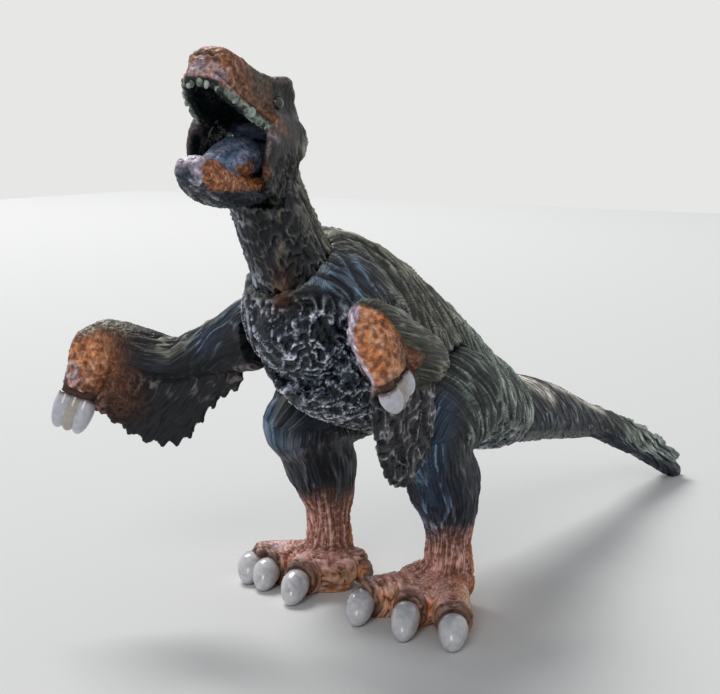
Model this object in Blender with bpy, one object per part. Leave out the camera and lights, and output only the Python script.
"""Toy dinosaur figure: a feathered, two-legged hunter in soft moulded plastic.

The figure stands on its two feet and the tip of its tail, mouth open, one arm
held out to the side and the other raised in front of the chest. It comes apart
as on a toy maker's bench: a torso with pockets, into which the neck, the legs
and the tail are glued on keyed plugs; two arms that snap onto hard plugs and
swivel at the shoulder; and a lower jaw that swings on a pin across the cheeks.

Metres. +X is the animal's left, -Y its front, +Z up. The origin is on the
ground, under the middle of the figure.
"""

import math

import bmesh
import bpy
import numpy as np
from mathutils import Matrix, Vector

# Fits
CLEARANCE = 0.0003
OVERRUN = 0.004

# Grain of the blended mouldings, and the triangles kept on each
BLEND_GRAIN = 0.0006
FINE_GRAIN = 0.0004
TORSO_FACES = 1500
HEAD_FACES = 2900
JAW_FACES = 700
LEG_FACES = 1000
ARM_FACES = 1250
TAIL_FACES = 760
RING_SIDES = 20

# Torso, from the breast to the end of the rump
BREAST_FORWARD = 0.0330
BREAST_UP = 0.0550
RUMP_UP = 0.0280
BACK_LENGTH = 0.0780
TORSO_HALF_WIDTH = 0.0130
TORSO_HALF_DEPTH = 0.0140

# Rows: along the back, height from rump to breast, half width, half depth
torso_shares = (
    (0.000, 0.96, 0.30, 0.30),
    (0.025, 0.98, 0.55, 0.56),
    (0.060, 1.01, 0.74, 0.72),
    (0.136, 1.06, 0.92, 1.02),
    (0.260, 0.90, 1.00, 1.14),
    (0.407, 0.71, 1.00, 1.06),
    (0.556, 0.52, 0.96, 0.94),
    (0.704, 0.32, 0.86, 0.79),
    (0.827, 0.18, 0.76, 0.69),
    (0.938, 0.07, 0.64, 0.58),
    (1.000, 0.02, 0.54, 0.50),
)

# Neck, from its seat in the torso up to the nape
NECK_SEAT_FORWARD = 0.0220
NECK_SEAT_UP = 0.0560
NAPE_OUT = -0.0013
NAPE_FORWARD = 0.0362
NAPE_UP = 0.0835
NECK_HALF_WIDTH = 0.0053
NECK_HALF_DEPTH = 0.0060

# Rows: along the neck, forward of the line, half width, half depth
neck_shares = (
    (0.00, 0.00, 1.40, 1.35),
    (0.25, 0.06, 1.32, 1.24),
    (0.50, 0.12, 1.16, 1.14),
    (0.75, 0.10, 1.06, 1.12),
    (0.95, 0.00, 1.04, 1.12),
)

# Jaw hinge, measured from the nape
HINGE_ASIDE = -0.0003
HINGE_BEHIND = 0.0030
HINGE_BELOW = 0.0009

# Head, measured from the jaw hinge: forward along the tooth line, and up
HEAD_TILT = math.radians(25.0)
HEAD_TURN = math.radians(13.0)
HEAD_ROLL = math.radians(4.0)
SNOUT_LENGTH = 0.0256
SKULL_HALF_WIDTH = 0.0064
SKULL_HEIGHT = 0.0090
LIP_RISE = 0.0010

# Rows: from the hinge to the snout, lower edge, upper edge, half width
skull_shares = (
    (0.00, 0.00, 0.62, 0.84),
    (0.12, 0.00, 0.84, 0.94),
    (0.31, 0.00, 0.94, 1.00),
    (0.43, 0.00, 0.90, 0.98),
    (0.58, 0.00, 0.78, 0.84),
    (0.74, 0.00, 0.75, 0.72),
    (0.87, 0.00, 0.72, 0.61),
    (0.95, 0.05, 0.62, 0.50),
    (1.00, 0.14, 0.46, 0.32),
)
BROW_RADIUS = 0.0015
brow_shares = ((0.20, 0.5), (0.26, 1.0), (0.38, 1.1), (0.47, 0.6))
LIP_RADIUS = 0.0010
lip_stretch_shares = (0.36, 0.97)
PALATE_HALF_WIDTH = 0.0049
PALATE_DEPTH = 0.0044

# Rows: from the hinge to the snout, half width, depth
palate_shares = (
    (0.18, 0.70, 0.90),
    (0.30, 0.96, 1.04),
    (0.45, 1.00, 0.95),
    (0.62, 0.82, 0.85),
    (0.78, 0.64, 0.72),
    (0.86, 0.42, 0.50),
)

# Cheeks, the sheets of skin that join lip and neck outside the lower jaw
CHEEK_OUT = 0.0067
CHEEK_HALF_THICKNESS = 0.0009
CHEEK_LENGTH = 0.0100

# Rows, from the lip down: forward of the hinge, up, half length; then out
cheek_shares = (
    (0.46, 0.62, 0.60, 0.92),
    (0.54, 0.30, 0.68, 0.98),
    (0.61, -0.05, 0.68, 0.96),
    (0.34, -0.42, 0.36, 0.86),
)

# Upper teeth
TOOTH_LENGTH = 0.0008
TOOTH_RADIUS = 0.0007
TOOTH_SIDES = 6
UPPER_TEETH = 12
upper_row_shares = (0.38, 0.94)

# Lower jaw, measured from the hinge, level with the gape wide open
JAW_LENGTH = 0.0247
JAW_HALF_WIDTH = 0.0052
JAW_HEIGHT = 0.0070
JAW_SWING = math.radians(20.0)

# Rows: from the hinge to the chin, lower edge, upper edge, half width
jaw_shares = (
    (0.20, -0.86, -0.37, 0.85),
    (0.36, -1.00, -0.36, 1.00),
    (0.56, -1.03, -0.32, 0.98),
    (0.72, -0.88, -0.12, 0.90),
    (0.86, -0.60, 0.08, 0.76),
    (0.95, -0.40, 0.11, 0.56),
    (1.00, -0.22, 0.03, 0.34),
)
TONGUE_HALF_WIDTH = 0.0040
TONGUE_HALF_HEIGHT = 0.0032

# Rows: along the jaw, height over the hinge, half width, half height
tongue_shares = (
    (0.27, 0.02, 0.86, 0.95),
    (0.38, 0.02, 1.00, 1.00),
    (0.54, -0.09, 0.92, 0.85),
    (0.68, -0.15, 0.64, 0.62),
)

# Jaw hinge, and the room behind the jaw in which it swings
KNUCKLE_RADIUS = 0.0026
KNUCKLE_HALF_WIDTH = 0.0025
STEM_HALF_WIDTH = 0.0021
PIN_RADIUS = 0.0008
PIN_HALF_LENGTH = 0.0042
PIN_SIDES = 16
ROOM_BACK = 0.0031
ROOM_REACH = 0.55

# Shoulders
SHOULDER_OUT = 0.0120
SHOULDER_FORWARD = 0.0205
SHOULDER_UP = 0.0520
SHOULDER_RADIUS = 0.0064
PLUG_RADIUS = 0.0019
PLUG_HEAD_RADIUS = 0.0026
PLUG_IN_TORSO = 0.0045
PLUG_IN_ARM = 0.0044
PLUG_HEAD_LENGTH = 0.0016
PLUG_SIDES = 20

# Arms: elbow, wrist and knuckles as out from the middle, back from the front, up
RIGHT_ARM = ((-0.0285, -0.0235, 0.0457), (-0.0413, -0.0303, 0.0498), (-0.0428, -0.0342, 0.0402))
LEFT_ARM = ((0.0208, -0.0175, 0.0490), (0.0200, -0.0365, 0.0590), (0.0226, -0.0326, 0.0494))
UPPER_ARM_RADIUS = 0.0048
FOREARM_RADIUS = 0.0035
HAND_HALF_WIDTH = 0.0041
HAND_HALF_THICKNESS = 0.0030

# Rows: place on the line shoulder, elbow, wrist; radius of the piece named
upper_arm_shares = ((0.10, 1.26), (0.35, 1.12), (0.70, 0.92), (1.00, 0.80))
forearm_shares = ((0.80, 1.00), (1.10, 1.10), (1.50, 1.12), (1.90, 1.02), (2.05, 0.80))

# Rows: place on the line of joints, half thickness, half width
right_hand_shares = ((1.80, 0.70, 0.70), (2.20, 1.00, 1.04), (2.65, 1.00, 0.86), (2.95, 0.84, 0.66))
left_hand_shares = ((1.80, 0.70, 0.70), (2.20, 1.00, 1.06), (2.65, 1.00, 1.06), (2.95, 0.84, 0.94))

# Fingers: spread, then length of the claws past them
RIGHT_FINGERS = (0.0019, 0.0056)
LEFT_FINGERS = (0.0028, 0.0034)
FINGER_RADIUS = 0.0017
FINGERS = 3
HAND_CLAW_RADIUS = 0.0018

# Feather fringe under each arm
FRINGE_THICKNESS = 0.0028
RIGHT_FRINGE_DROP = 0.0156
LEFT_FRINGE_DROP = 0.0225
FEATHER_POINT = 0.0016
FEATHERS = 13
FRINGE_ROWS = 4

# Rows: place on the line shoulder, elbow, wrist, knuckles; drop
right_fringe_shares = ((0.25, 0.46), (0.60, 0.60), (1.00, 0.90), (1.50, 1.00), (2.00, 0.84), (2.30, 0.56))
left_fringe_shares = ((1.02, 0.40), (1.12, 0.68), (1.32, 0.90), (1.54, 1.00), (1.72, 0.92), (1.84, 0.62))

# Legs: distances from the middle, the middle of the hips and the ground
HIP_OUT = 0.0100
HIP_BACK = 0.0060
HIP_UP = 0.0385
HIP_SEAT_OUT = 0.0060
KNEE_OUT = 0.0138
KNEE_FORWARD = 0.0088
KNEE_UP = 0.0345
CALF_BACK = 0.0033
ANKLE_UP = 0.0120
LEFT_ANKLE = (0.0118, 0.0030)
RIGHT_ANKLE = (-0.0150, 0.0032)
THIGH_RADIUS = 0.0098
SHIN_RADIUS = 0.0059
ANKLE_RADIUS = 0.0036

# Rows: place on the line seat, hip, knee; half width, half depth
thigh_shares = (
    (0.50, 0.80, 0.80),
    (1.00, 1.00, 1.00),
    (1.45, 0.84, 0.88),
    (1.85, 0.78, 0.78),
    (2.00, 0.66, 0.68),
)

# Rows: along the shin from knee to ankle, half width, half depth
shin_shares = (
    (-0.10, 0.92, 0.92),
    (0.05, 1.12, 1.12),
    (0.20, 1.06, 1.08),
    (0.45, 1.04, 1.22),
    (0.72, 0.82, 0.92),
    (0.95, 0.66, 0.70),
)

# Feet: each claw's tip, then its root, as out from the middle, back from the front
LEFT_TOES = ((0.0043, -0.0154, 0.0022, -0.0104), (0.0152, -0.0174, 0.0124, -0.0116),
             (0.0246, -0.0168, 0.0222, -0.0122))
RIGHT_TOES = ((-0.0119, -0.0130, -0.0141, -0.0078), (-0.0214, -0.0092, -0.0232, -0.0048),
              (-0.0262, -0.0076, -0.0283, -0.0034))
INSTEP_UP = 0.0050
TOE_RADIUS = 0.0033
TOE_CLAW_UP = 0.0039
TOE_CLAW_RADIUS = 0.0026
HEEL_RADIUS = 0.0040
HEEL_BACK = 0.0024
PAD_RADIUS = 0.0042
PAD_FORWARD = 0.0056
SPUR_IN = 0.0072
SPUR_RADIUS = 0.0025
SPUR_CLAW_LENGTH = 0.0040

# Tail
TAIL_SEAT_BACK = 0.0400
TAIL_SEAT_UP = 0.0305
TAIL_REACH = 0.0815
TAIL_SWAY = 0.0066
TAIL_RADIUS = 0.0071

# Rows: along the tail, height from ground to seat, sway to the left, radius
tail_shares = (
    (0.000, 1.00, 0.00, 0.92),
    (0.108, 0.93, 0.00, 1.00),
    (0.217, 0.87, 0.00, 0.92),
    (0.325, 0.80, 0.00, 0.80),
    (0.458, 0.70, 0.00, 0.62),
    (0.578, 0.62, 0.04, 0.51),
    (0.700, 0.49, 0.20, 0.49),
    (0.807, 0.36, 0.45, 0.45),
    (0.900, 0.20, 0.75, 0.37),
    (0.965, 0.08, 0.95, 0.26),
    (1.000, 0.04, 1.00, 0.14),
)
TUFT_LENGTH = 0.0092
TUFT_RADIUS = 0.0014
TUFTS = 10
tuft_stretch_shares = (0.66, 0.89)

# Keyed plugs of the glued seats
KEY_LENGTH = 0.0036
KEY_WIDTH = 0.0052
KEY_THICKNESS = 0.0030

# Ground: how far each underside is pared to a flat
SOLE_CUT = 0.0004

# Colours of the plastic and its paint
NAVY = (0.030, 0.042, 0.055, 1.0)
OLIVE = (0.075, 0.082, 0.065, 1.0)
RUST = (0.330, 0.130, 0.060, 1.0)
STEEL_BLUE = (0.095, 0.140, 0.230, 1.0)
HARD_BLACK = (0.020, 0.020, 0.022, 1.0)
SKIN_ROUGHNESS = 0.42
HARD_ROUGHNESS = 0.30


def clear_scene():
    """Remove every object of the open scene."""
    for piece in list(bpy.data.objects):
        bpy.data.objects.remove(piece, do_unlink=True)


def material(name, colour, roughness):
    """A moulded plastic of one colour."""
    made = bpy.data.materials.new(name)
    made.use_nodes = True
    shader = made.node_tree.nodes["Principled BSDF"]
    shader.inputs["Base Color"].default_value = colour
    shader.inputs["Roughness"].default_value = roughness
    shader.inputs["Metallic"].default_value = 0.0
    return made


def solid(name, points, faces):
    """A closed mesh object from points and faces, its faces turned outward."""
    mesh = bpy.data.meshes.new(name)
    mesh.from_pydata([tuple(point) for point in points], [], faces)
    shell = bmesh.new()
    shell.from_mesh(mesh)
    bmesh.ops.recalc_face_normals(shell, faces=shell.faces)
    shell.to_mesh(mesh)
    shell.free()
    piece = bpy.data.objects.new(name, mesh)
    bpy.context.collection.objects.link(piece)
    return piece


def bake(piece):
    """Give the piece the mesh that its modifiers make."""
    graph = bpy.context.evaluated_depsgraph_get()
    made = bpy.data.meshes.new_from_object(piece.evaluated_get(graph), depsgraph=graph)
    piece.modifiers.clear()
    piece.data = made
    return piece


def remove(piece):
    """Take a used cutter or blank out of the scene."""
    bpy.data.objects.remove(piece, do_unlink=True)


def combine(piece, other, operation):
    """Weld another solid on, or cut its space out, by an exact Boolean; uses it up."""
    boolean = piece.modifiers.new(operation.title(), "BOOLEAN")
    boolean.operation = operation
    boolean.solver = "EXACT"
    boolean.object = other
    bake(piece)
    remove(other)
    return piece


def cut(piece, cutter):
    """Take the cutter's space out of the piece."""
    return combine(piece, cutter, "DIFFERENCE")


def join(piece, other):
    """Weld another closed solid onto the piece."""
    return combine(piece, other, "UNION")


def swollen(piece):
    """A copy of the piece, grown by the clearance, to cut its seat with."""
    made = piece.copy()
    made.data = piece.data.copy()
    bpy.context.collection.objects.link(made)
    grow = made.modifiers.new("Grow", "DISPLACE")
    grow.direction = "NORMAL"
    grow.mid_level = 0.0
    grow.strength = CLEARANCE
    return bake(made)


def curve_through(rows, steps):
    """Rows of numbers, with a smooth (Catmull-Rom) curve passed through them."""
    rows = np.asarray(rows, dtype=float)
    held = np.vstack([2.0 * rows[0] - rows[1], rows, 2.0 * rows[-1] - rows[-2]])
    made = []
    for span in range(len(rows) - 1):
        a, b, c, d = held[span:span + 4]
        for t in np.arange(steps) / steps:
            bend = 2.0 * a - 5.0 * b + 4.0 * c - d
            twist = 3.0 * b - a - 3.0 * c + d
            made.append(0.5 * (2.0 * b + (c - a) * t + bend * t ** 2 + twist * t ** 3))
    made.append(rows[-1])
    return np.array(made)


def loft(name, stations, up=(0.0, 0.0, 1.0), sides=RING_SIDES, steps=4, square=1.0):
    """A closed skin over oval rings.

    Each station is a centre, a half width and a half depth; the depth leans
    towards up. Above 1, square flattens the four sides of each ring. The ends
    are domed by half their size.
    """
    rows = curve_through([(*centre, wide, deep) for centre, wide, deep in stations], steps)
    centres, wide, deep = rows[:, :3], np.abs(rows[:, 3]), np.abs(rows[:, 4])
    along = np.gradient(centres, axis=0)
    along /= np.linalg.norm(along, axis=1)[:, None]
    side = np.cross(along, np.asarray(up, dtype=float))
    side /= np.linalg.norm(side, axis=1)[:, None]
    rise = np.cross(side, along)
    turn = np.arange(sides) * 2.0 * math.pi / sides
    cosine = np.sign(np.cos(turn)) * np.abs(np.cos(turn)) ** (1.0 / square)
    sine = np.sign(np.sin(turn)) * np.abs(np.sin(turn)) ** (1.0 / square)
    rings = (centres[:, None] + side[:, None] * (wide[:, None] * cosine)[..., None]
             + rise[:, None] * (deep[:, None] * sine)[..., None])
    first = centres[0] - along[0] * (wide[0] + deep[0]) / 4.0
    last = centres[-1] + along[-1] * (wide[-1] + deep[-1]) / 4.0
    return skin(name, rings, first, last)


def skin(name, rings, first=None, last=None):
    """A closed solid over rings of points; an end is a point or, without one, flat."""
    count, sides = rings.shape[:2]
    points = [Vector(point) for point in rings.reshape(-1, 3)]
    faces = []
    for ring in range(count - 1):
        for corner in range(sides):
            after = (corner + 1) % sides
            here, there = ring * sides, (ring + 1) * sides
            faces.append((here + corner, there + corner, there + after, here + after))
    for end, ring in ((first, 0), (last, count - 1)):
        corners = [ring * sides + corner for corner in range(sides)]
        if end is None:
            faces.append(tuple(corners))
            continue
        points.append(Vector(end))
        faces += [(len(points) - 1, a, b) for a, b in zip(corners, corners[1:] + corners[:1])]
    return solid(name, points, faces)


def turned(name, start, direction, profile, sides):
    """A solid turned about an axis; profile rows are a distance along it and a radius."""
    axis = Vector(direction).normalized()
    side = axis.orthogonal().normalized()
    rise = axis.cross(side)
    turn = np.arange(sides) * 2.0 * math.pi / sides
    circle = np.outer(np.cos(turn), side) + np.outer(np.sin(turn), rise)
    start, axis = np.asarray(start), np.asarray(axis)
    return skin(name, np.array([start + axis * along + circle * radius for along, radius in profile]))


def block(name, low, high):
    """A box between its lowest and highest corners."""
    (x0, y0, z0), (x1, y1, z1) = low, high
    ring = [(x0, y0), (x1, y0), (x1, y1), (x0, y1)]
    return skin(name, np.array([[(x, y, z) for x, y in ring] for z in (z0, z1)]))


def blended(name, blanks, grain, faces):
    """Melt overlapping blanks into one flowing moulding of about so many triangles."""
    points, polygons = [], []
    for blank in blanks:
        base = len(points)
        points += [vertex.co.copy() for vertex in blank.data.vertices]
        polygons += [tuple(base + corner for corner in polygon.vertices) for polygon in blank.data.polygons]
        remove(blank)
    mesh = bpy.data.meshes.new(name)
    mesh.from_pydata(points, [], polygons)
    piece = bpy.data.objects.new(name, mesh)
    bpy.context.collection.objects.link(piece)
    melt = piece.modifiers.new("Melt", "REMESH")
    melt.mode = "VOXEL"
    melt.voxel_size = grain
    soften = piece.modifiers.new("Soften", "SMOOTH")
    soften.factor = 0.5
    soften.iterations = 3
    bake(piece)
    thin = piece.modifiers.new("Thin", "DECIMATE")
    thin.ratio = min(1.0, faces / (2.0 * len(piece.data.polygons)))
    thin.use_collapse_triangulate = True
    return bake(piece)


def drop_chips(piece):
    """Keep the largest body of the piece, without the chips that its cuts leave."""
    shell = bmesh.new()
    shell.from_mesh(piece.data)
    unseen, bodies = set(shell.verts), []
    while unseen:
        front = [unseen.pop()]
        body = set(front)
        while front:
            for edge in front.pop().link_edges:
                fresh = unseen.intersection(edge.verts)
                unseen -= fresh
                body |= fresh
                front.extend(fresh)
        bodies.append(body)
    bodies.sort(key=len)
    for body in bodies[:-1]:
        bmesh.ops.delete(shell, geom=list(body), context="VERTS")
    shell.to_mesh(piece.data)
    shell.free()
    return piece


def place_on(joints, place):
    """The point at a place on a line of joints: 0 is the first joint, 1 the second."""
    first = min(max(int(place), 0), len(joints) - 2)
    return joints[first].lerp(joints[first + 1], place - first)


def keyed(piece, host, seat, direction):
    """A glued seat: a keyed plug on the piece and its socket in the host."""
    seat, direction = Vector(seat), Vector(direction).normalized()
    across = direction.orthogonal().normalized()
    frame = Matrix((across, direction.cross(across), direction)).transposed().to_4x4()
    frame.translation = seat
    for target, spare in ((piece, 0.0), (host, CLEARANCE)):
        wide, thick = KEY_WIDTH / 2.0 + spare, KEY_THICKNESS / 2.0 + spare
        key = block("key", (-wide, -thick, -OVERRUN / 2.0), (wide, thick, KEY_LENGTH + spare))
        key.data.transform(frame)
        combine(target, key, "UNION" if target is piece else "DIFFERENCE")


def claw(root, tip, radius, up=(0.0, 0.0, 1.0)):
    """A blunt, egg-shaped claw from its root to its tip."""
    shares = ((0.00, 0.80), (0.30, 1.00), (0.62, 0.86), (0.85, 0.56), (0.97, 0.26))
    stations = [(root.lerp(tip, along), radius * size, radius * size) for along, size in shares]
    return loft("claw", stations, up=up, sides=8, steps=1)


def torso():
    """Breast, belly and rump, as one barrel that slopes down to the tail."""
    stations = []
    for along, height, wide, deep in torso_shares:
        centre = (0.0, BACK_LENGTH * along - BREAST_FORWARD, RUMP_UP + (BREAST_UP - RUMP_UP) * height)
        stations.append((centre, TORSO_HALF_WIDTH * wide, TORSO_HALF_DEPTH * deep))
    return blended("torso", [loft("barrel", stations)], BLEND_GRAIN, TORSO_FACES)


def neck_line():
    """Seat and nape of the neck."""
    return Vector((0.0, -NECK_SEAT_FORWARD, NECK_SEAT_UP)), Vector((NAPE_OUT, -NAPE_FORWARD, NAPE_UP))


def neck_blank():
    """The neck, from its seat to the nape."""
    seat, nape = neck_line()
    stations = []
    for along, forward, wide, deep in neck_shares:
        centre = seat.lerp(nape, along) - Vector((0.0, NECK_HALF_DEPTH * forward, 0.0))
        stations.append((centre, NECK_HALF_WIDTH * wide, NECK_HALF_DEPTH * deep))
    return loft("neck", stations, up=(0.0, 1.0, 0.0))


def jaw_hinge():
    """The middle of the jaw's hinge, behind and below the nape."""
    return neck_line()[1] + Vector((HINGE_ASIDE, HINGE_BEHIND, -HINGE_BELOW))


def head_frame(tilt):
    """The frame of a jaw: at the hinge, rolled and turned with the head, tilted up from level."""
    frame = (Matrix.Rotation(HEAD_TURN, 4, "Z") @ Matrix.Rotation(HEAD_ROLL, 4, "Y")
             @ Matrix.Rotation(-tilt, 4, "X"))
    frame.translation = jaw_hinge()
    return frame


def in_frame(piece, frame):
    """Carry a blank that was made at the hinge into its frame."""
    piece.data.transform(frame)
    return piece


def skull_at(along, column):
    """A share of the skull at a place between the hinge and the snout."""
    return np.interp(along, [row[0] for row in skull_shares], [row[column] for row in skull_shares])


def skull_blanks(frame):
    """Skull with upper jaw, and a brow over each eye."""
    stations = []
    for along, low, high, wide in skull_shares:
        middle = LIP_RISE + SKULL_HEIGHT * (low + high) / 2.0
        stations.append(((0.0, -SNOUT_LENGTH * along, middle), SKULL_HALF_WIDTH * wide,
                         SKULL_HEIGHT * (high - low) / 2.0))
    blanks = [loft("skull", stations, square=1.25)]
    for side in (-1.0, 1.0):
        ridge = []
        for along, size in brow_shares:
            out = side * (SKULL_HALF_WIDTH * skull_at(along, 3) - BROW_RADIUS)
            up = LIP_RISE + SKULL_HEIGHT * skull_at(along, 2) - BROW_RADIUS
            ridge.append(((out, -SNOUT_LENGTH * along, up), BROW_RADIUS * size, BROW_RADIUS * size))
        blanks.append(loft("brow", ridge, sides=12))
    return [in_frame(blank, frame) for blank in blanks]


def palate(frame):
    """The hollow between the two tooth rows, and the throat behind it."""
    stations = [((0.0, -SNOUT_LENGTH * along, LIP_RISE - PALATE_DEPTH * 0.2), PALATE_HALF_WIDTH * wide,
                 PALATE_DEPTH * deep) for along, wide, deep in palate_shares]
    return in_frame(loft("palate", stations, sides=12, steps=2, square=1.3), frame)


def lip_at(side, along):
    """The middle of the lip band: out, forward and up at a share of the snout."""
    out = SKULL_HALF_WIDTH * skull_at(along, 3) - LIP_RADIUS * 0.7
    return Vector((side * out, -SNOUT_LENGTH * along, LIP_RISE + SKULL_HEIGHT * skull_at(along, 1)))


def lip_band(frame):
    """The lip, a round band along both edges of the upper jaw and across the snout."""
    places = np.linspace(*lip_stretch_shares, 7)
    line = [lip_at(-1.0, along) for along in places] + [lip_at(1.0, along) for along in places[::-1]]
    stations = [(point, LIP_RADIUS, LIP_RADIUS) for point in line]
    return in_frame(loft("lip", stations, sides=12, steps=2), frame)


def cheeks():
    """The sheet of skin at each mouth corner, standing outside the lower jaw."""
    made = []
    for side in (-1.0, 1.0):
        sheet = [((side * CHEEK_OUT * out, -CHEEK_LENGTH * forward, CHEEK_LENGTH * up), CHEEK_HALF_THICKNESS,
                  CHEEK_LENGTH * length) for forward, up, length, out in cheek_shares]
        made.append(in_frame(loft("cheek", sheet, up=(0.0, 1.0, 0.0), steps=3, square=1.5), head_frame(0.0)))
    return made


def teeth(frame):
    """The two rows of blunt upper teeth, each tooth seated in the lip band."""
    made = []
    profile = ((0.0, TOOTH_RADIUS * 0.9), (LIP_RADIUS + TOOTH_LENGTH * 0.4, TOOTH_RADIUS),
               (LIP_RADIUS + TOOTH_LENGTH, TOOTH_RADIUS * 0.4))
    for side in (-1.0, 1.0):
        for along in np.linspace(*upper_row_shares, UPPER_TEETH):
            tooth = turned("tooth", lip_at(side, along), (0.0, 0.0, -1.0), profile, TOOTH_SIDES)
            made.append(in_frame(tooth, frame))
    return made


def hinge_bar(name, radius, half_length):
    """A round bar across the head on the line of the jaw's hinge."""
    frame = head_frame(0.0)
    return in_frame(turned(name, (-half_length, 0.0, 0.0), (1.0, 0.0, 0.0),
                           ((0.0, radius), (2.0 * half_length, radius)), PIN_SIDES), frame)


def head_and_neck():
    """Neck and skull in one moulding, hollow under the palate, with its upper teeth."""
    frame = head_frame(HEAD_TILT)
    blanks = [neck_blank(), *skull_blanks(frame), lip_band(frame), *cheeks(), *teeth(frame)]
    return cut(blended("head_and_neck", blanks, FINE_GRAIN, HEAD_FACES), palate(frame))


def lower_jaw():
    """Lower jaw with the tongue, and the knuckle that turns on the pin."""
    frame = head_frame(0.0)
    stations = []
    for along, low, high, wide in jaw_shares:
        stations.append(((0.0, -JAW_LENGTH * along, JAW_HEIGHT * (low + high) / 2.0), JAW_HALF_WIDTH * wide,
                         JAW_HEIGHT * (high - low) / 2.0))
    bone = loft("bone", stations, square=1.25)
    root = Vector((0.0, 0.0, 0.0))
    reach = Vector((0.0, -JAW_LENGTH * 0.26, -JAW_HEIGHT * 0.50))
    neck = loft("stem", [(root, STEM_HALF_WIDTH, KNUCKLE_RADIUS * 0.9),
                         (reach, STEM_HALF_WIDTH, KNUCKLE_RADIUS * 0.9)])
    tongue = loft("tongue", [((0.0, -JAW_LENGTH * along, JAW_HEIGHT * height), TONGUE_HALF_WIDTH * wide,
                              TONGUE_HALF_HEIGHT * high) for along, height, wide, high in tongue_shares])
    blanks = [in_frame(blank, frame) for blank in (bone, neck, tongue)]
    piece = blended("lower_jaw", blanks, FINE_GRAIN, JAW_FACES)
    join(piece, hinge_bar("knuckle", KNUCKLE_RADIUS, KNUCKLE_HALF_WIDTH))
    return cut(piece, hinge_bar("pin_bore", PIN_RADIUS + CLEARANCE, KNUCKLE_HALF_WIDTH + OVERRUN))


def prism(name, outline, half_width):
    """A slab across the head; its outline is in lengths forward of the hinge and up."""
    rings = [[(x, -forward, up) for forward, up in outline] for x in (-half_width, half_width)]
    return in_frame(skin(name, np.array(rings)), head_frame(0.0))


def seat_jaw(head):
    """Hollow the head for the jaw: pin seats, knuckle barrel, stem slot and room to swing."""
    cut(head, hinge_bar("pin_seat", PIN_RADIUS + CLEARANCE, PIN_HALF_LENGTH + CLEARANCE))
    cut(head, hinge_bar("barrel", KNUCKLE_RADIUS + 2.0 * CLEARANCE, KNUCKLE_HALF_WIDTH + CLEARANCE))
    front, rise = JAW_LENGTH * ROOM_REACH, math.tan(JAW_SWING)
    floor = -JAW_HEIGHT - 2.0 * CLEARANCE
    room = ((ROOM_BACK, floor), (front, floor), (front, front * rise), (ROOM_BACK, ROOM_BACK * rise))
    cut(head, prism("room", room, JAW_HALF_WIDTH + 2.0 * CLEARANCE))
    slot = ((0.0, floor * 0.75), (ROOM_BACK * 1.2, floor * 0.85), (ROOM_BACK * 1.2, KNUCKLE_RADIUS),
            (0.0, KNUCKLE_RADIUS))
    cut(head, prism("slot", slot, KNUCKLE_HALF_WIDTH))


def arm(name, side, joints, hand_shares, fingers, fringe_drop, fringe_shares):
    """One arm: shoulder disc, upper arm, forearm, hand, claws and feather fringe."""
    shoulder = Vector((side * SHOULDER_OUT, -SHOULDER_FORWARD, SHOULDER_UP))
    joints = [shoulder, *(Vector(joint) for joint in joints)]
    elbow, wrist, knuckles = joints[1:]
    lean = (0.0, 0.2, 1.0)
    disc = [(shoulder - Vector((side * SHOULDER_RADIUS * 0.4, 0.0, 0.0)), SHOULDER_RADIUS, SHOULDER_RADIUS),
            (shoulder + Vector((side * SHOULDER_RADIUS * 0.2, 0.0, 0.0)), SHOULDER_RADIUS, SHOULDER_RADIUS),
            (place_on(joints, 0.35), UPPER_ARM_RADIUS * 1.1, UPPER_ARM_RADIUS * 1.1)]
    blanks = [loft("disc", disc, up=lean)]
    blanks.append(loft("upper", [(place_on(joints, place), UPPER_ARM_RADIUS * size, UPPER_ARM_RADIUS * size)
                                 for place, size in upper_arm_shares], up=lean))
    blanks.append(loft("fore", [(place_on(joints, place), FOREARM_RADIUS * size, FOREARM_RADIUS * size)
                                for place, size in forearm_shares], up=lean))
    reach = (knuckles - wrist).normalized()
    across = reach.cross((wrist - elbow).normalized().cross(reach)).normalized()
    blanks.append(loft("hand", [(place_on(joints, place), HAND_HALF_THICKNESS * thick, HAND_HALF_WIDTH * wide)
                                for place, thick, wide in hand_shares], up=across))
    spread, claw_length = fingers
    claws = []
    for number in range(FINGERS):
        offset = across * spread * (number - (FINGERS - 1) / 2.0)
        root = knuckles + offset - reach * FINGER_RADIUS * 1.5
        end = knuckles + offset + reach * FINGER_RADIUS
        blanks.append(loft("finger", [(root, FINGER_RADIUS, FINGER_RADIUS),
                                      (end, FINGER_RADIUS * 0.9, FINGER_RADIUS * 0.9)], up=across, sides=12))
        bed, tip = end - reach * FINGER_RADIUS * 0.5, end + reach * claw_length
        claws.append(claw(bed, tip, HAND_CLAW_RADIUS, across))
    blanks.append(fringe(joints, fringe_drop, fringe_shares))
    piece = blended(name, [*blanks, *claws], FINE_GRAIN, ARM_FACES)
    face = side * (SHOULDER_OUT + CLEARANCE / 2.0)
    low, high = sorted((face, face - side * SHOULDER_RADIUS * 3.0))
    reach = SHOULDER_RADIUS * 4.0
    return cut(piece, block("face", (low, -SHOULDER_FORWARD - reach, SHOULDER_UP - reach),
                            (high, -SHOULDER_FORWARD + reach, SHOULDER_UP + reach)))


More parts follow.
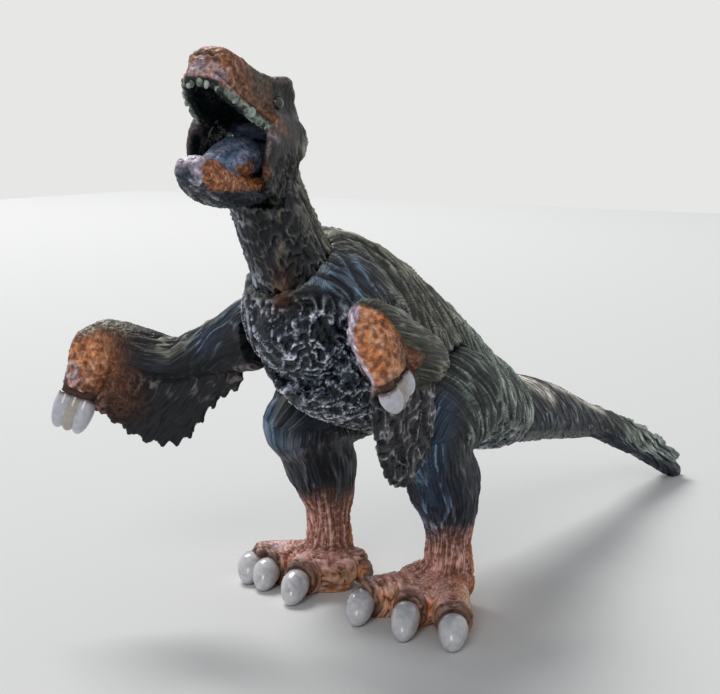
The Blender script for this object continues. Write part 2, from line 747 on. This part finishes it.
def fringe(joints, longest, shares):
    """The sheet of feathers that hangs from the arm, its lower edge in points.

    Columns of points run down from the line of the arm, two to a feather; the
    sheet thins towards its lower edge, where every second column hangs lower.
    """
    rows = curve_through([(*place_on(joints, place), longest * drop) for place, drop in shares], 6)
    columns = 2 * FEATHERS + 1
    spread = np.linspace(0.0, len(rows) - 1.0, columns)
    rows = np.stack([np.interp(spread, np.arange(len(rows)), column) for column in rows.T], axis=1)
    top, drop = rows[:, :3], rows[:, 3]
    drop = drop + FEATHER_POINT * (np.arange(columns) % 2)
    flow = np.gradient(top, axis=0)
    out = np.cross(flow, (0.0, 0.0, 1.0))
    out /= np.linalg.norm(out, axis=1)[:, None]
    rings = []
    for column in range(columns):
        down = np.linspace(0.0, 1.0, FRINGE_ROWS + 1)
        line = top[column] - np.outer(down * drop[column], (0.0, 0.0, 1.0))
        half = FRINGE_THICKNESS * (0.5 - 0.3 * down)[:, None] * out[column]
        rings.append([*(line + half), *(line - half)[::-1]])
    return skin("fringe", np.array(rings))


def shoulder_plug(name, side, spare):
    """A shoulder plug or, with some spare, the space it takes: a barrel with a snap head."""
    reach = PLUG_IN_TORSO + PLUG_IN_ARM
    ramp = PLUG_HEAD_RADIUS - PLUG_RADIUS
    profile = ((-spare, PLUG_RADIUS + spare),
               (reach - PLUG_HEAD_LENGTH - ramp - spare, PLUG_RADIUS + spare),
               (reach - PLUG_HEAD_LENGTH - spare, PLUG_HEAD_RADIUS + spare),
               (reach - PLUG_HEAD_LENGTH / 2.0, PLUG_HEAD_RADIUS + spare),
               (reach + spare, PLUG_RADIUS + spare))
    start = (side * (SHOULDER_OUT - PLUG_IN_TORSO), -SHOULDER_FORWARD, SHOULDER_UP)
    return turned(name, start, (side, 0.0, 0.0), profile, PLUG_SIDES)


def seat_arm(body, piece, side):
    """Flatten the torso's shoulder, and bore torso and arm for the plug."""
    face = side * (SHOULDER_OUT - CLEARANCE / 2.0)
    disc = turned("face", (face, -SHOULDER_FORWARD, SHOULDER_UP), (side, 0.0, 0.0),
                  ((0.0, SHOULDER_RADIUS * 1.3), (TORSO_HALF_WIDTH, SHOULDER_RADIUS * 1.6)), RING_SIDES)
    cut(body, disc)
    cut(body, shoulder_plug("socket", side, CLEARANCE))
    cut(piece, shoulder_plug("bore", side, CLEARANCE))


def leg(name, side, ankle, toes):
    """One leg: thigh, shin, foot with three toes, heel and spur."""
    seat = Vector((0.0, HIP_BACK, HIP_UP))
    hip = Vector((side * HIP_OUT, HIP_BACK, HIP_UP))
    knee = Vector((side * KNEE_OUT, -KNEE_FORWARD, KNEE_UP))
    ankle = Vector((*ankle, ANKLE_UP))
    instep = Vector((ankle.x, ankle.y, INSTEP_UP))
    joints = [seat, hip, knee]
    blanks = [loft("thigh", [(place_on(joints, place), THIGH_RADIUS * wide, THIGH_RADIUS * deep)
                             for place, wide, deep in thigh_shares])]
    shin = []
    for along, wide, deep in shin_shares:
        centre = knee.lerp(ankle, along)
        centre.y += CALF_BACK * math.sin(math.pi * min(max(along, 0.0), 1.0))
        shin.append((centre, SHIN_RADIUS * wide, SHIN_RADIUS * deep))
    shin.append((instep, ANKLE_RADIUS * 1.3, ANKLE_RADIUS * 1.3))
    blanks.append(loft("shin", shin, up=(0.0, 1.0, 0.0)))
    claws = []
    middle_toe = Vector((*toes[1][2:], INSTEP_UP)) - instep
    for tip_out, tip_back, root_out, root_back in toes:
        tip = Vector((tip_out, tip_back, TOE_CLAW_RADIUS * 0.5))
        root = Vector((root_out, root_back, TOE_CLAW_UP))
        knuckle = root.lerp(instep, 0.45)
        knuckle.z = TOE_RADIUS * 1.15
        blanks.append(loft("toe", [(instep, TOE_RADIUS, TOE_RADIUS),
                                   (knuckle, TOE_RADIUS * 0.96, TOE_RADIUS * 1.24),
                                   (root.lerp(knuckle, 0.3), TOE_RADIUS * 0.96, TOE_RADIUS * 1.1),
                                   (root.lerp(tip, 0.1), TOE_RADIUS * 0.84, TOE_RADIUS * 0.84)]))
        claws.append(claw(root, tip, TOE_CLAW_RADIUS))
    heel = instep - middle_toe.normalized() * HEEL_BACK
    heel.z = HEEL_RADIUS
    blanks.append(loft("heel", [(instep, HEEL_RADIUS, HEEL_RADIUS), (heel, HEEL_RADIUS, HEEL_RADIUS)]))
    spur = instep + Vector((-side * SPUR_IN, 0.0, 0.0))
    blanks.append(loft("spur", [(instep, SPUR_RADIUS * 1.2, SPUR_RADIUS * 1.3),
                                (spur, SPUR_RADIUS, SPUR_RADIUS * 1.1)]))
    pad = instep + Vector((-side * SPUR_IN * 0.72, -PAD_FORWARD, 0.0))
    pad.z = PAD_RADIUS
    blanks.append(loft("pad", [(instep, PAD_RADIUS, PAD_RADIUS), (pad, PAD_RADIUS, PAD_RADIUS)]))
    down = Vector((-side * 0.3, 0.1, -1.0)).normalized()
    claws.append(claw(spur, spur + down * SPUR_CLAW_LENGTH, SPUR_RADIUS * 0.8, (0.0, 1.0, 0.0)))
    piece = blended(name, blanks, BLEND_GRAIN, LEG_FACES)
    for made in claws:
        join(piece, made)
    low, high = sorted((side * HIP_SEAT_OUT, -side * OVERRUN))
    reach = THIGH_RADIUS * 2.0
    return cut(piece, block("hip_face", (low, HIP_BACK - reach, HIP_UP - reach / 2.0),
                            (high, HIP_BACK + reach, HIP_UP + reach)))


def level(piece):
    """Pare the underside flat where the piece stands on the ground."""
    corners = np.array([tuple(vertex.co) for vertex in piece.data.vertices])
    low, high = corners.min(axis=0) - OVERRUN, corners.max(axis=0) + OVERRUN
    return cut(piece, block("ground", tuple(low), (high[0], high[1], SOLE_CUT)))


def tail():
    """The tail, a long taper that sways to the left, tufted towards its tip."""
    stations = []
    for along, height, sway, size in tail_shares:
        centre = (TAIL_SWAY * sway, TAIL_SEAT_BACK + TAIL_REACH * along, TAIL_SEAT_UP * height)
        stations.append((centre, TAIL_RADIUS * size * 0.94, TAIL_RADIUS * size))
    blanks = [loft("whip", stations)]
    rows = np.array([(*centre, deep) for centre, wide, deep in stations])
    places = [row[0] for row in tail_shares]
    for number, along in enumerate(np.linspace(*tuft_stretch_shares, TUFTS)):
        x, y, z, radius = (np.interp(along, places, column) for column in rows.T)
        turn = math.radians(75.0) * (number % 3 - 1)
        out = Vector((math.sin(turn), 0.0, math.cos(turn)))
        root = Vector((x, y, z)) + out * radius * 0.6
        tip = root + out * TUFT_RADIUS + Vector((0.0, TUFT_LENGTH, -TUFT_LENGTH * 0.34))
        blanks.append(loft("tuft", [(root, TUFT_RADIUS, TUFT_RADIUS),
                                    (root.lerp(tip, 0.5), TUFT_RADIUS, TUFT_RADIUS),
                                    (tip, TUFT_RADIUS * 0.5, TUFT_RADIUS * 0.5)], sides=10, steps=2))
    return blended("tail", blanks, FINE_GRAIN, TAIL_FACES)


def stand(pieces):
    """Move the figure so that the origin is on the ground under its middle."""
    corners = np.array([tuple(vertex.co) for piece in pieces for vertex in piece.data.vertices])
    low, high = corners.min(axis=0), corners.max(axis=0)
    shift = Vector((-(low[0] + high[0]) / 2.0, -(low[1] + high[1]) / 2.0, -low[2]))
    for piece in pieces:
        piece.location = shift


def hang(piece, pivot):
    """Put the origin of a moving piece on its joint's axis; its shape stays in place."""
    piece.data.transform(Matrix.Translation(-pivot))
    piece.location += pivot


def build():
    """Model every piece and seat each one in its neighbours."""
    clear_scene()
    body, head, jaw = torso(), head_and_neck(), lower_jaw()
    left_leg = level(leg("left_leg", 1.0, LEFT_ANKLE, LEFT_TOES))
    right_leg = level(leg("right_leg", -1.0, RIGHT_ANKLE, RIGHT_TOES))
    whip = level(tail())
    left_arm = arm("left_arm", 1.0, LEFT_ARM, left_hand_shares, LEFT_FINGERS,
                   LEFT_FRINGE_DROP, left_fringe_shares)
    right_arm = arm("right_arm", -1.0, RIGHT_ARM, right_hand_shares, RIGHT_FINGERS,
                    RIGHT_FRINGE_DROP, right_fringe_shares)
    seat_jaw(head)
    pin = hinge_bar("jaw_pin", PIN_RADIUS, PIN_HALF_LENGTH)
    for piece in (head, left_leg, right_leg, whip):
        cut(body, swollen(piece))
    seat_arm(body, left_arm, 1.0)
    seat_arm(body, right_arm, -1.0)
    left_plug = shoulder_plug("left_shoulder_plug", 1.0, 0.0)
    right_plug = shoulder_plug("right_shoulder_plug", -1.0, 0.0)
    seat, nape = neck_line()
    keyed(head, body, seat - (nape - seat).normalized() * NECK_HALF_DEPTH * 0.6, seat - nape)
    keyed(left_leg, body, (HIP_SEAT_OUT, HIP_BACK, HIP_UP), (-1.0, 0.0, 0.0))
    keyed(right_leg, body, (-HIP_SEAT_OUT, HIP_BACK, HIP_UP), (1.0, 0.0, 0.0))
    keyed(whip, body, (0.0, TAIL_SEAT_BACK - TAIL_RADIUS * 0.4, TAIL_SEAT_UP), (0.0, -1.0, 0.1))
    painted = {
        "navy_feathers": (NAVY, SKIN_ROUGHNESS, (body, left_leg, right_leg, left_arm, right_arm)),
        "olive_feathers": (OLIVE, SKIN_ROUGHNESS, (whip,)),
        "rust_hide": (RUST, SKIN_ROUGHNESS, (head,)),
        "blue_mouth": (STEEL_BLUE, SKIN_ROUGHNESS, (jaw,)),
        "hard_plugs": (HARD_BLACK, HARD_ROUGHNESS, (pin, left_plug, right_plug)),
    }
    for name, (colour, roughness, pieces) in painted.items():
        for piece in pieces:
            piece.data.materials.clear()
            piece.data.materials.append(material(piece.name + "_" + name, colour, roughness))
    for piece in (body, head, jaw, left_leg, right_leg, whip, left_arm, right_arm):
        drop_chips(piece)
    stand([body, head, jaw, left_leg, right_leg, whip, left_arm, right_arm, pin, left_plug, right_plug])
    hang(jaw, jaw_hinge())
    hang(left_arm, Vector((SHOULDER_OUT, -SHOULDER_FORWARD, SHOULDER_UP)))
    hang(right_arm, Vector((-SHOULDER_OUT, -SHOULDER_FORWARD, SHOULDER_UP)))


build()
